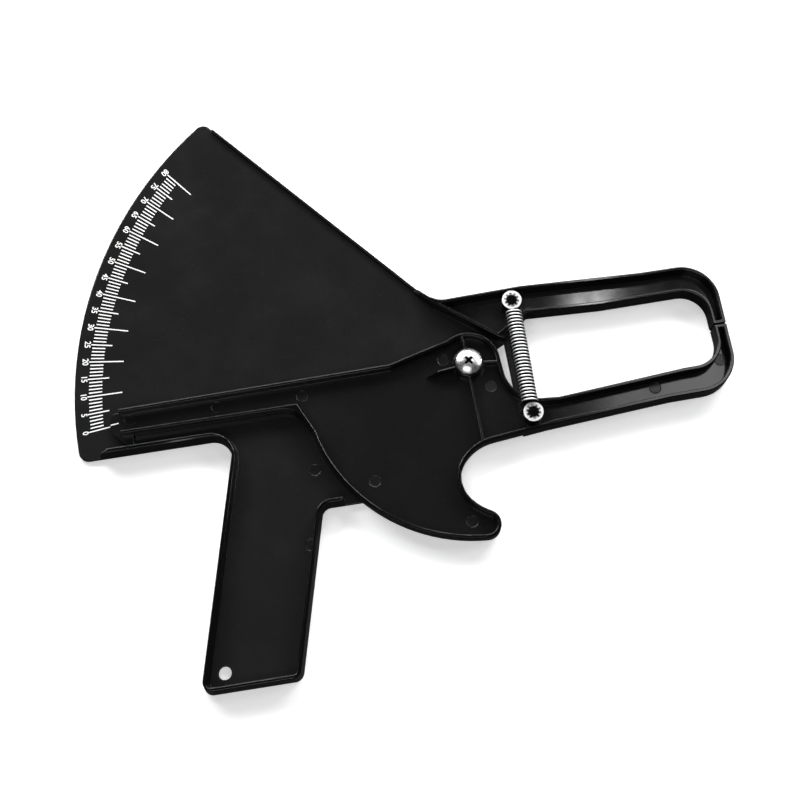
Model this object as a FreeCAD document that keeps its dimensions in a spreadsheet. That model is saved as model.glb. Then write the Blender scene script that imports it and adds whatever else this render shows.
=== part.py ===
import FreeCAD, Part
import math
import os
from FreeCAD import Placement, Rotation, Vector
import Sketcher

# Skinfold caliper: two plastic mouldings on one screw, pulled together by one
# tension spring. Lengths in millimetres, angles in degrees.
# The pivot axis is the Z axis, +X runs from the pivot to the closed jaws, and
# z = 0 is the flat back on which the caliper lies.

doc = FreeCAD.newDocument("skinfold_caliper")

# ---------------------------------------------------------------- the sheet
SIZES = {
    # heights above the back
    "plate_thick": 2.0,
    "rim_top": 8.0,
    "lever_base": 2.3,
    "lever_floor": 3.8,
    "post_seat": 10.6,
    "post_top": 13.4,
    "ring_base": 12.0,
    "ring_thick": 0.4,
    "coil_height": 11.6,
    "loop_height": 11.2,
    # the mouldings
    "rim_width": 1.6,
    "wall_draft": 4.0,
    "plate_inset": 1.4,
    "grip_rim_width": 2.8,
    "rim_bevel": 0.35,
    "plate_bevel": 0.3,
    "fan_radius": 166.8,
    "fan_corner": 4.0,
    "grip_corner": 4.0,
    "grip_root": 8.0,
    "jaw_round": 15.5,
    "jaw_hollow": 11.0,
    "fan_rib_top": 3.5,
    "gusset_start": -9.5,
    "gusset_end": -17.2,
    "gusset_low": 3.6,
    "hub_radius": 13.3,
    "trigger_bow": 70.5,
    "trigger_root": 9.8,
    "spur_bow": 5.8,
    "finger_low_bow": 19.8,
    "finger_bow": 13.0,
    "finger_high_bow": 19.2,
    "throat_round": 15.0,
    "arm_blend": 9.0,
    "tip_round": 1.4,
    "jaw_nick": 0.7,
    "strip_round": 2.0,
    "rib_width": 0.8,
    "hang_hole": 5.3,
    "hang_x": -116.1,
    "hang_y": -110.7,
    "deep_left": 17.5,
    "deep_foot": -33.5,
    "pointer_open": -149.0,
    # the pivot
    "disc_size": 25.6,
    "boss_size": 10.8,
    "boss_top": 5.7,
    "socket_size": 11.0,
    "socket_top": 5.8,
    "collar_size": 12.9,
    "bush_size": 7.0,
    "bush_bore": 7.1,
    "bush_top": 8.1,
    "screw_size": 5.0,
    "screw_hole": 5.1,
    "head_size": 11.2,
    "head_edge": 0.7,
    "head_dome": 8.6,
    "head_top": 10.9,
    "cross_span": 5.2,
    "cross_slot": 1.1,
    "cross_depth": 1.6,
    "nut_flats": 8.0,
    "nut_high": 4.0,
    "nut_pocket": 8.1,
    "pocket_top": 4.1,
    # the spring and its posts
    "post_x": 22.2,
    "upper_post_y": 23.0,
    "lower_post_y": -26.9,
    "post_size": 4.4,
    "seat_size": 7.4,
    "post_bevel": 0.5,
    "seat_bevel": 0.4,
    "ring_size": 8.2,
    "ring_bore": 6.4,
    "ring_teeth": 10.0,
    "tooth_width": 1.3,
    "wire_size": 1.1,
    "coil_size": 6.7,
    "coil_length": 41.5,
    "coil_lean": 0.6,
    "loop_size": 6.9,
}

# how much of the fan's top edge the arm's wall runs along
GUSSET_SHARE = 0.075
# a ring's teeth: how far they start inside its annulus, and the share of their
# width that is left at the tips
TOOTH_SUNK = 0.3
TOOTH_TIP = 0.2

# Corners of the mouldings, seen from the front: name, x, y.
CORNERS = {
    # frame: fan and handle
    "fan_top": (-98.73, 134.45),
    "fan_foot": (-166.08, -15.5),
    "grip_back": (-101.2, -15.5),
    "heel_back": (-126.2, -118.4),
    "heel_front": (-86.0, -118.4),
    "grip_front": (-68.8, -51.0),
    "web_foot": (-48.0, -51.0),
    # frame: the plate's edge where it runs inside the handle's rim
    "plate_ramp": (-157.0, -15.5),
    "plate_ramp_in": (-156.0, -14.1),
    "plate_root": (-99.4, -14.1),
    "plate_heel_back": (-124.4, -117.0),
    "plate_heel_front": (-87.1, -117.0),
    "plate_front": (-69.9, -49.6),
    "plate_rim_end": (-61.0, -49.6),
    "plate_foot": (-60.0, -51.0),
    "ring_left": (-9.19, -9.19),
    "ring_inside": (6.0, -6.0),
    "ring_right": (11.58, 5.4),
    # frame: upper jaw arm
    "throat_low": (16.8, 8.0),
    "throat_high": (28.1, 17.9),
    "upper_in_bend": (60.0, 16.5),
    "upper_crook": (104.2, 16.9),
    "upper_jaw_in": (104.2, 0.12),
    "upper_jaw_out": (109.8, 0.12),
    "upper_elbow": (109.9, 28.2),
    "upper_out_bend": (79.0, 28.2),
    "upper_out_root": (27.4, 30.5),
    "arm_root": (-9.2, 29.6),
    "diagonal_end": (-10.8, 29.0),
    "tray_root": (-11.4, 29.45),
    "hub_wall_end": (14.4, 9.2),
    "plate_end_high": (21.0, 26.0),
    # frame: the strip of plate behind the spring
    "strip_left_low": (17.3, -18.6),
    "strip_right_low": (26.0, -18.6),
    "strip_right_high": (26.0, 20.0),
    # frame: the raised rim round the handle
    "ramp_out": (-158.0, -15.5),
    "ramp_in": (-153.5, -12.67),
    "rim_back": (-97.6, -12.67),
    "rim_heel_back": (-122.6, -115.57),
    "rim_heel_front": (-88.2, -115.57),
    "rim_front": (-71.0, -48.17),
    "rim_end_in": (-59.5, -48.17),
    "rim_end_out": (-59.5, -51.0),
    # frame: the low rib on the fan's top edge
    "rib_low_out": (-14.4, 35.7),
    "rib_high_out": (-94.6, 129.6),
    "rib_high_in": (-95.35, 128.95),
    "rib_low_in": (-15.15, 35.05),
    # lever: lower jaw arm
    "lower_jaw_out": (109.8, -0.12),
    "lower_jaw_in": (104.4, -0.12),
    "lower_crook": (104.6, -16.5),
    "lower_in_bend": (88.0, -16.8),
    "lower_in_root": (34.8, -20.9),
    "throat_east": (28.7, -20.4),
    "throat_north": (13.7, -5.4),
    "hub_low": (13.3, -0.5),
    "hub_inside": (5.0, 5.0),
    "hub_high": (-3.5, 12.1),
    "tray_step": (22.2, -21.2),
    # lever: pointer arm and trigger
    "pointer_bend": (-33.0, 4.4),
    "pointer_high": (-147.2, 3.0),
    "pointer_low": (-147.2, -8.0),
    "trigger_high": (-74.4, -8.0),
    "trigger_edge": (-68.8, -19.8),
    "trigger_foot": (-4.4, -74.8),
    "spur_tip": (-1.6, -63.8),
    "finger_foot": (-2.9, -63.0),
    "finger_low": (-8.5, -58.0),
    "finger_high": (-8.3, -41.6),
    "finger_root": (4.4, -34.9),
    "lower_out_root": (28.0, -32.4),
    "lower_out_bend": (80.0, -28.6),
    "lower_elbow": (109.8, -28.1),
    # lever: the flat tip of the pointer and its stop
    "tip_high": (-150.6, 2.6),
    "tip_nose": (-152.0, -3.0),
    "tip_low": (-151.0, -6.6),
    "stop_slope": (-146.0, -12.0),
    "stop_low": (-143.0, -12.6),
    "stop_end": (-142.5, -7.0),
    "tip_root": (-142.5, 2.6),
    # lever: the ribs round the hub's collar
    "rib_up_near": (-0.2, 5.5),
    "rib_up_far": (-0.9, 12.4),
    "rib_right_near": (5.5, -0.9),
    "rib_right_far": (12.4, -1.6),
    "rib_down_near": (-0.6, -5.5),
    "rib_down_far": (0.2, -35.2),
    "rib_left_near": (-5.5, -1.4),
    "rib_left_far": (-18.4, -2.9),
}

sheet = doc.addObject("Spreadsheet::Sheet", "Sizes")
row = 0
for alias, number in SIZES.items():
    row = row + 1
    sheet.set("A%d" % row, alias)
    sheet.set("B%d" % row, str(number))
    sheet.setAlias("B%d" % row, alias)
for corner, (x, y) in CORNERS.items():
    for axis, number in (("x", x), ("y", y)):
        row = row + 1
        sheet.set("A%d" % row, corner + "_" + axis)
        sheet.set("B%d" % row, str(number))
        sheet.setAlias("B%d" % row, corner + "_" + axis)
doc.recompute()


class Size:
    """A length of the sheet: its number, and the expression that reads it."""

    def __init__(self, number, text):
        self.number = number
        self.text = text

    def __add__(self, other):
        other = size(other)
        return Size(self.number + other.number, "(%s + %s)" % (self.text, other.text))

    def __sub__(self, other):
        other = size(other)
        return Size(self.number - other.number, "(%s - %s)" % (self.text, other.text))

    def __mul__(self, factor):
        return Size(self.number * factor, "%s * %.6g" % (self.text, factor))


def size(what):
    """A Size from an alias, a plain number or a Size."""
    if isinstance(what, Size):
        return what
    if isinstance(what, str):
        return Size(float(sheet.get(what)), "Sizes." + what)
    return Size(float(what), "(%.6g)" % what)


def corner(name):
    return (size(name + "_x"), size(name + "_y"))


# ------------------------------------------------------------------ helpers
bodies = []


def new_body(name):
    body = doc.addObject("PartDesign::Body", name)
    body.Label = name
    bodies.append(body)
    return body


def plane_sketch(body, name, height, role="XY_Plane"):
    sk = body.newObject("Sketcher::SketchObject", name)
    plane = [f for f in body.Origin.OriginFeatures if f.Role == role][0]
    sk.AttachmentSupport = [(plane, "")]
    sk.MapMode = "FlatFace"
    if height is not None:
        sk.setExpression("AttachmentOffset.Base.z", size(height).text)
    return sk


def dimension(sk, kind, where, length):
    number = sk.addConstraint(Sketcher.Constraint(kind, *where, length.number))
    sk.setExpression("Constraints[%d]" % number, length.text)


def bow_middle(a, b, radius):
    """Middle point of an arc from a to b; it bulges to the right of a-b if radius > 0."""
    chord = b - a
    half = chord.Length / 2
    right = Vector(chord.y, -chord.x, 0).normalize()
    rise = abs(radius) - math.sqrt(radius * radius - half * half)
    return (a + b) * 0.5 + right * math.copysign(rise, radius)


def draw(sk, corners, bows):
    """Closed line through the corners; bows holds the sides that are arcs."""
    ends = [Vector(x.number, y.number, 0) for x, y in corners]
    count = len(corners)
    for i in range(count):
        a = ends[i]
        b = ends[(i + 1) % count]
        if i in bows:
            middle = bow_middle(a, b, bows[i].number)
            sk.addGeometry(Part.Arc(a, middle, b), False)
        else:
            sk.addGeometry(Part.LineSegment(a, b), False)
    # an arc that runs clockwise is stored the other way round
    first = {}
    last = {}
    for i in range(count):
        start = sk.getPoint(i, 1)
        turned = (start - ends[i]).Length > 1e-4
        first[i] = 2 if turned else 1
        last[i] = 1 if turned else 2
    for i in range(count):
        j = (i + 1) % count
        sk.addConstraint(Sketcher.Constraint("Coincident", i, last[i], j, first[j]))
    for i, (x, y) in enumerate(corners):
        dimension(sk, "DistanceX", (-1, 1, i, first[i]), x)
        dimension(sk, "DistanceY", (-1, 1, i, first[i]), y)
    for i, radius in bows.items():
        number = sk.addConstraint(Sketcher.Constraint("Radius", i, abs(radius.number)))
        sk.setExpression("Constraints[%d]" % number, "abs(%s)" % radius.text)


def outline(body, name, height, corners, bows=None):
    """A closed sketch through the corners, at a height above the back."""
    sk = plane_sketch(body, name, height)
    draw(sk, corners, bows or {})
    return sk


def circle(body, name, height, centre, across, role="XY_Plane"):
    """A circle sketch: centre as two Sizes or None for the origin, and its diameter."""
    sk = plane_sketch(body, name, height, role)
    if centre is None:
        at = Vector(0, 0, 0)
    else:
        at = Vector(centre[0].number, centre[1].number, 0)
    sk.addGeometry(Part.Circle(at, Vector(0, 0, 1), size(across).number / 2), False)
    if centre is None:
        sk.addConstraint(Sketcher.Constraint("Coincident", 0, 3, -1, 1))
    else:
        dimension(sk, "DistanceX", (-1, 1, 0, 3), centre[0])
        dimension(sk, "DistanceY", (-1, 1, 0, 3), centre[1])
    dimension(sk, "Diameter", (0,), size(across))
    return sk


def settle(feature):
    """Recompute, and stop at a feature that failed."""
    doc.recompute()
    if "Invalid" in feature.State or "Error" in feature.State:
        raise RuntimeError(feature.Name + " failed: " + feature.getStatusString())
    if not feature.Shape.isValid():
        raise RuntimeError(feature.Name + " has no valid shape")


def pad(body, name, sk, length, draft=None):
    """Raise a sketch towards +Z; the draft makes it narrower upwards."""
    feature = body.newObject("PartDesign::Pad", name)
    feature.Profile = sk
    feature.setExpression("Length", size(length).text)
    if draft is not None:
        feature.setExpression("TaperAngle", "-" + size(draft).text)
    settle(feature)
    return feature


def pocket(body, name, sk, depth, upward=False, both_ways=False):
    """Cut a sketch towards -Z, towards +Z, or half to each side of its plane."""
    before = body.Shape.Volume
    feature = body.newObject("PartDesign::Pocket", name)
    feature.Profile = sk
    feature.setExpression("Length", size(depth).text)
    feature.Reversed = upward
    feature.Midplane = both_ways
    settle(feature)
    if body.Shape.Volume > before - 1e-3:
        raise RuntimeError(name + " cuts nothing")
    return feature


def upright_edges(body, places, reach=1.4):
    """Names of the steep edges that stand near the given corners."""
    names = []
    for i, edge in enumerate(body.Tip.Shape.Edges):
        if len(edge.Vertexes) < 2:
            continue
        a = edge.Vertexes[0].Point
        b = edge.Vertexes[1].Point
        if abs(a.z - b.z) < 0.9 * (a - b).Length or abs(a.z - b.z) < 1.0:
            continue
        for x, y in places:
            if math.hypot(a.x - x, a.y - y) < reach and math.hypot(b.x - x, b.y - y) < reach:
                names.append("Edge%d" % (i + 1))
                break
    return names


def round_uprights(body, name, places, radius, reach=1.4):
    """Round the steep edges near the given corners."""
    numbers = [(x.number, y.number) for x, y in places]
    names = upright_edges(body, numbers, reach)
    if not names:
        raise RuntimeError(name + " finds no edge")
    base = body.Tip
    feature = body.newObject("PartDesign::Fillet", name)
    feature.Base = (base, names)
    feature.setExpression("Radius", size(radius).text)
    settle(feature)
    return feature


def bevel(body, name, level, width, near=None, reach=None):
    """Chamfer the edges at a height above the back, all of them or those near a point."""
    names = []
    for i, edge in enumerate(body.Tip.Shape.Edges):
        spots = [vertex.Point for vertex in edge.Vertexes]
        spots.append(edge.valueAt((edge.FirstParameter + edge.LastParameter) / 2))
        if any(abs(spot.z - size(level).number) > 1e-3 for spot in spots):
            continue
        if near is not None:
            gaps = [math.hypot(p.x - near[0].number, p.y - near[1].number) for p in spots]
            if max(gaps) > reach[1] or min(gaps) < reach[0]:
                continue
        names.append("Edge%d" % (i + 1))
    if not names:
        raise RuntimeError(name + " finds no edge")
    base = body.Tip
    feature = body.newObject("PartDesign::Chamfer", name)
    feature.Base = (base, names)
    feature.setExpression("Size", size(width).text)
    settle(feature)
    return feature


def regular(x, y, flats, sides, first=0.5):
    """Corners of a regular outline round a point; first turns it, in steps of a side."""
    reach = size(flats) * (0.5 / math.cos(math.pi / sides))
    turns = [2 * math.pi * (i + first) / sides for i in range(sides)]
    return [(x + reach * math.cos(a), y + reach * math.sin(a)) for a in turns]


def inset(corners, bows, wall):
    """The same outline moved inwards by the wall; sides that are arcs keep their centre."""
    count = len(corners)
    ends = [Vector(x.number, y.number, 0) for x, y in corners]

    def heading(i, at_start):
        a = ends[i]
        b = ends[(i + 1) % count]
        if i not in bows:
            return (b - a).normalize()
        middle = bow_middle(a, b, bows[i].number)
        arc = Part.Arc(a, middle, b)
        where = arc.FirstParameter if at_start else arc.LastParameter
        along = arc.tangent(where)[0]
        if along.dot(b - a) < 0:
            along = along * -1
        return along

    moved = []
    for i, (x, y) in enumerate(corners):
        before = heading((i - 1) % count, False)
        after = heading(i, True)
        turn = 1 + before.x * after.x + before.y * after.y
        left = Vector(-before.y - after.y, before.x + after.x, 0)
        moved.append((x + wall * (left.x / turn), y + wall * (left.y / turn)))
    kept = {}
    for i, radius in bows.items():
        kept[i] = radius - wall
    return moved, kept


height = {name: size(name) for name in SIZES}
rim = size("rim_width")
rise = height["rim_top"] - height["plate_thick"]

# -------------------------------------------------------------------- frame
frame = new_body("frame")

frame_names = [
    "fan_top", "fan_foot", "plate_ramp", "plate_ramp_in", "plate_root", "plate_heel_back",
    "plate_heel_front", "plate_front", "plate_rim_end", "plate_foot", "web_foot",
    "ring_left", "ring_inside", "ring_right", "throat_low", "strip_left_low",
    "strip_right_low", "strip_right_high", "plate_end_high", "arm_root",
]
frame_corners = [corner(name) for name in frame_names]
plate = outline(frame, "plate_outline", None, frame_corners, {0: size("fan_radius")})
pad(frame, "plate", plate, "plate_thick")
round_uprights(frame, "fan_corners", [corner("fan_top"), corner("fan_foot")], "fan_corner")
pivot = (size(0), size(0))
fan_edge = (height["fan_radius"].number - 1, height["fan_radius"].number + 1)
bevel(frame, "fan_bevel", "plate_thick", "plate_bevel", pivot, fan_edge)
round_uprights(frame, "plate_root_round", [corner("plate_root")], height["grip_root"] + "plate_inset")
round_uprights(
    frame, "plate_front_round", [corner("plate_front")], height["grip_corner"] + "plate_inset",
)
round_uprights(
    frame, "strip_end_round", [corner("strip_left_low"), corner("strip_right_low")],
    "strip_round",
)
disc = circle(frame, "pivot_disc_outline", None, None, "disc_size")
pad(frame, "pivot_disc", disc, "plate_thick")

arm_names = [
    "hub_wall_end", "throat_low", "throat_high", "upper_in_bend", "upper_crook",
    "upper_jaw_in", "upper_jaw_out", "upper_elbow", "upper_out_bend", "upper_out_root",
    "arm_root", "diagonal_end",
]
arm_corners = [corner(name) for name in arm_names]
# the arm's wall runs on a little along the fan's edge
fan_run = [(corner("fan_top")[i] - corner("arm_root")[i]) * GUSSET_SHARE for i in (0, 1)]
for name in ("diagonal_end", "arm_root"):
    x, y = corner(name)
    arm_corners.insert(arm_names.index("diagonal_end"), (x + fan_run[0], y + fan_run[1]))
arm = outline(frame, "upper_arm_outline", None, arm_corners)
pad(frame, "upper_arm", arm, "rim_top")

tray_names = [name for name in arm_names[:-2] if name != "throat_low"] + ["tray_root"]
tray_corners, tray_bows = inset([corner(name) for name in tray_names], {}, rim)
tray = outline(frame, "upper_tray_outline", "rim_top", tray_corners)
pocket(frame, "upper_tray", tray, rise)
tray_at = dict(zip(tray_names, tray_corners))
round_uprights(
    frame, "tray_elbow_round", [tray_at["upper_elbow"]], height["jaw_round"] - rim, 2.2,
)
round_uprights(frame, "jaw_crook_round", [corner("upper_crook")], "jaw_hollow")
round_uprights(
    frame, "tray_crook_round", [tray_at["upper_crook"]], height["jaw_hollow"] + rim, 2.2,
)

rim_names = [
    "ramp_out", "grip_back", "heel_back", "heel_front", "grip_front", "rim_end_out",
    "rim_end_in", "rim_front", "rim_heel_front", "rim_heel_back", "rim_back", "ramp_in",
]
handle_rim = outline(frame, "handle_rim_outline", None, [corner(n) for n in rim_names])
pad(frame, "handle_rim", handle_rim, "rim_top", "wall_draft")

round_uprights(frame, "jaw_elbow_round", [corner("upper_elbow")], "jaw_round")
round_uprights(frame, "arm_blend_round", [corner("arm_root")], "arm_blend", 0.5)
round_uprights(
    frame, "upper_jaw_nick", [corner("upper_jaw_in"), corner("upper_jaw_out")], "jaw_nick", 0.5,
)
round_uprights(frame, "grip_root_outer", [corner("grip_back")], "grip_root")
round_uprights(
    frame, "grip_corners_outer",
    [corner("heel_back"), corner("heel_front"), corner("grip_front")], "grip_corner",
)
round_uprights(frame, "grip_root_inner", [corner("rim_back")], height["grip_root"] + "grip_rim_width")
round_uprights(
    frame, "grip_front_inner", [corner("rim_front")], height["grip_corner"] + "grip_rim_width",
)
round_uprights(
    frame, "grip_heel_inner",
    [corner("rim_heel_back"), corner("rim_heel_front")], "tip_round",
)

rib_names = ["rib_low_out", "rib_high_out", "rib_high_in", "rib_low_in"]
rib = outline(frame, "fan_rib_outline", "plate_thick", [corner(n) for n in rib_names])
pad(frame, "fan_rib", rib, height["fan_rib_top"] - height["plate_thick"])

bevel(frame, "rim_bevels", "rim_top", "rim_bevel")

# the arm's wall slopes down to the rib on the fan's edge
slope = plane_sketch(frame, "gusset_slope_outline", None, "XZ_Plane")
draw(slope, [
    (height["gusset_start"], height["rim_top"]), (height["gusset_end"], height["rim_top"]),
    (height["gusset_end"], height["gusset_low"]),
], {})
pocket(frame, "gusset_slope", slope, "fan_radius", both_ways=True)

boss = circle(frame, "pivot_boss_outline", None, None, "boss_size")
pad(frame, "pivot_boss", boss, "boss_top")

upper_post = (height["post_x"], height["upper_post_y"])
seat = circle(frame, "post_seat_outline", None, upper_post, "seat_size")
pad(frame, "post_seat", seat, "post_seat")
post = circle(frame, "post_outline", "post_seat", upper_post, "post_size")
pad(frame, "post", post, height["post_top"] - height["post_seat"])
seat_edge = (height["seat_size"].number / 2 - 0.1, height["seat_size"].number / 2 + 0.1)
bevel(frame, "seat_bevel", "post_seat", "seat_bevel", upper_post, seat_edge)
bevel(frame, "post_bevel", "post_top", "post_bevel")


def hexagon(body, name, flats):
    """A hexagon round the pivot, flats across the Y axis."""
    return outline(body, name, None, regular(size(0), size(0), flats, 6, 0))


pocket(
    frame, "nut_pocket", hexagon(frame, "nut_pocket_outline", "nut_pocket"),
    "pocket_top", upward=True,
)
hole = circle(frame, "screw_hole_outline", None, None, "screw_hole")
pocket(frame, "screw_hole_cut", hole, "boss_top", upward=True)

hang_at = (height["hang_x"], height["hang_y"])
hang = circle(frame, "hang_hole_outline", None, hang_at, "hang_hole")
pocket(frame, "hang_hole_cut", hang, "plate_thick", upward=True)

# -------------------------------------------------------------------- lever
lever = new_body("lever")

lever_names = [
    "lower_jaw_out", "lower_jaw_in", "lower_crook", "lower_in_bend", "lower_in_root",
    "throat_east", "throat_north", "hub_low", "hub_inside", "hub_high", "pointer_bend",
    "pointer_high", "pointer_low", "trigger_high", "trigger_edge", "trigger_foot",
    "spur_tip", "finger_foot", "finger_low", "finger_high", "finger_root", "lower_out_root",
    "lower_out_bend", "lower_elbow",
]
lever_corners = [corner(name) for name in lever_names]
lever_bows = {
    lever_names.index("throat_east"): size("throat_round") * -1,
    lever_names.index("trigger_edge"): size("trigger_bow"),
    lever_names.index("trigger_foot"): size("spur_bow"),
    lever_names.index("finger_foot"): size("finger_low_bow") * -1,
    lever_names.index("finger_low"): size("finger_bow") * -1,
    lever_names.index("finger_high"): size("finger_high_bow") * -1,
}
block = outline(lever, "lever_outline", "lever_base", lever_corners, lever_bows)
lever_rise = height["rim_top"] - height["lever_base"]
pad(lever, "lever_block", block, lever_rise)
hub = circle(lever, "hub_outline", "lever_base", None, size("hub_radius") * 2)
pad(lever, "hub", hub, lever_rise)

# the lower jaw arm reaches down to the back, clear of the frame's plate
deep_left = height["deep_left"]
deep_corners = [
    corner("lower_jaw_out"), corner("lower_jaw_in"), corner("lower_crook"),
    corner("lower_in_bend"), corner("lower_in_root"),
    corner("throat_east"),
    (deep_left, corner("throat_east")[1]),
    (deep_left, height["deep_foot"]),
    corner("lower_out_root"), corner("lower_out_bend"), corner("lower_elbow"),
]
deep = outline(lever, "deep_arm_outline", None, deep_corners)
pad(lever, "deep_arm", deep, "lever_base")

# hub, pointer and trigger tray
body_names = lever_names[lever_names.index("lower_in_root"):-2]
inner_corners, inner_bows = inset(lever_corners, lever_bows, rim)
inner_at = dict(zip(lever_names, inner_corners))
body_corners = [inner_at[name] for name in body_names]
# the tray runs out through the open end of the pointer
for name in ("pointer_high", "pointer_low"):
    place = body_names.index(name)
    body_corners[place] = (height["pointer_open"], body_corners[place][1])
body_bows = {body_names.index(lever_names[i]): bow for i, bow in inner_bows.items()}
tray_deep = height["rim_top"] - height["lever_floor"]
body_tray = outline(lever, "body_tray_outline", "rim_top", body_corners, body_bows)
pocket(lever, "body_tray", body_tray, tray_deep)
hub_tray = circle(lever, "hub_tray_outline", "rim_top", None, (size("hub_radius") - rim) * 2)
pocket(lever, "hub_tray", hub_tray, tray_deep)

arm_tray_names = [
    "lower_jaw_out", "lower_jaw_in", "lower_crook", "lower_in_bend", "lower_in_root",
    "throat_east", "lower_out_root", "lower_out_bend", "lower_elbow",
]
arm_tray_corners = [inner_at[name] for name in arm_tray_names]
step = arm_tray_names.index("lower_out_root")
arm_tray_corners[step] = (corner("tray_step")[0], inner_at["lower_out_root"][1])
arm_tray_corners.insert(step, corner("tray_step"))
arm_tray = outline(lever, "lower_tray_outline", "rim_top", arm_tray_corners)
pocket(lever, "lower_tray", arm_tray, rise)
round_uprights(
    lever, "lower_tray_elbow", [inner_at["lower_elbow"]], height["jaw_round"] - rim, 2.2,
)
round_uprights(lever, "lower_crook_round", [corner("lower_crook")], "jaw_hollow")
round_uprights(
    lever, "lower_tray_crook", [inner_at["lower_crook"]], height["jaw_hollow"] + rim, 2.2,
)

round_uprights(lever, "elbow_round", [corner("lower_elbow")], "jaw_round")
round_uprights(
    lever, "lower_jaw_nick", [corner("lower_jaw_in"), corner("lower_jaw_out")], "jaw_nick", 0.5,
)
round_uprights(lever, "trigger_root_round", [corner("trigger_high")], "trigger_root")

# flat tip of the pointer, with the stop that rests on the fan's lower rim
tip_names = [
    "tip_high", "tip_nose", "tip_low", "stop_slope", "stop_low", "stop_end", "tip_root",
]
tip = outline(lever, "pointer_tip_outline", "lever_base", [corner(name) for name in tip_names])
pad(lever, "pointer_tip", tip, height["lever_floor"] - height["lever_base"])
round_uprights(
    lever, "tip_rounds", [corner("tip_high"), corner("tip_low")], "tip_round", 0.5,
)

# collar round the screw, open below over the frame's boss
collar = circle(lever, "collar_outline", "lever_base", None, "collar_size")
pad(lever, "collar", collar, lever_rise)
bevel(lever, "lever_bevels", "rim_top", "rim_bevel")

half_rib = height["rib_width"] * 0.5


def collar_rib(name):
    """A thin upright rib that runs out from the collar."""
    near = corner(name + "_near")
    far = corner(name + "_far")
    along = Vector(far[0].number - near[0].number, far[1].number - near[1].number, 0)
    along.normalize()
    corners = []
    for (x, y), side in ((near, -1), (far, -1), (far, 1), (near, 1)):
        corners.append((x + half_rib * (-along.y * side), y + half_rib * (along.x * side)))
    sk = outline(lever, name + "_outline", "lever_base", corners)
    pad(lever, name, sk, lever_rise)


for name in ("rib_up", "rib_right", "rib_down", "rib_left"):
    collar_rib(name)

# the left rib slopes down to the tray's floor
slope = plane_sketch(lever, "rib_slope_outline", None, "XZ_Plane")
slope_left = size("rib_left_far_x") - half_rib
draw(slope, [
    (size("hub_radius") * -1, height["rim_top"]), (slope_left, height["rim_top"]),
    (slope_left, height["lever_floor"]),
], {})
pocket(lever, "rib_slope", slope, "hub_radius", both_ways=True)

socket = circle(lever, "socket_outline", "lever_base", None, "socket_size")
pocket(
    lever, "socket", socket, height["socket_top"] - height["lever_base"], upward=True,
)
bore = circle(lever, "bush_bore_outline", "lever_base", None, "bush_bore")
pocket(lever, "bush_bore_cut", bore, lever_rise, upward=True)

lower_post = (height["post_x"], height["lower_post_y"])
lower_seat = circle(lever, "lower_seat_outline", None, lower_post, "seat_size")
pad(lever, "lower_seat", lower_seat, "post_seat")
lower_pin = circle(lever, "lower_post_outline", "post_seat", lower_post, "post_size")
pad(lever, "lower_post", lower_pin, height["post_top"] - height["post_seat"])
bevel(lever, "lower_seat_bevel", "post_seat", "seat_bevel", lower_post, seat_edge)
bevel(lever, "lower_post_bevel", "post_top", "post_bevel")

# ------------------------------------------------------------ pivot hardware
hard_nut = new_body("pivot_nut")
nut_profile = hexagon(hard_nut, "nut_outline", "nut_flats")
pad(hard_nut, "nut", nut_profile, "nut_high")
thread = circle(hard_nut, "thread_outline", None, None, "screw_size")
pocket(hard_nut, "thread_bore", thread, "nut_high", upward=True)
hard_nut.setExpression("Placement.Base.z", "Sizes.pocket_top - Sizes.nut_high")


def turned(body, name, profile, bows=None):
    """Revolve a closed half section, given as radius and height, about the Z axis."""
    sk = plane_sketch(body, name + "_section", None, "XZ_Plane")
    corners = [(size(x), size(z)) for x, z in profile]
    draw(sk, corners, bows or {})
    feature = body.newObject("PartDesign::Revolution", name)
    feature.Profile = sk
    feature.ReferenceAxis = (sk, ["V_Axis"])
    feature.Angle = 360
    settle(feature)
    return feature


bush = new_body("pivot_bush")
inner = height["screw_hole"] * 0.5
outer = height["bush_size"] * 0.5
turned(bush, "bush", [
    (inner, "boss_top"), (outer, "boss_top"), (outer, "bush_top"), (inner, "bush_top"),
])

screw = new_body("pivot_screw")
shank = height["screw_size"] * 0.5
head = height["head_size"] * 0.5
turned(screw, "screw", [
    (0, 0), (shank, 0), (shank, "bush_top"), (head, "bush_top"),
    (head, height["bush_top"] + height["head_edge"]), (0, "head_top"),
], {4: size("head_dome")})
for name, turn in (("cross_one", 0), ("cross_two", 90)):
    half_long = height["cross_span"] * 0.5
    half_wide = height["cross_slot"] * 0.5
    if turn:
        half_long, half_wide = half_wide, half_long
    slot = outline(screw, name + "_outline", "head_top", [
        (half_long * -1, half_wide * -1), (half_long, half_wide * -1),
        (half_long, half_wide), (half_long * -1, half_wide),
    ])
    pocket(screw, name, slot, "cross_depth")

# ------------------------------------------------------------ retaining rings


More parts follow.
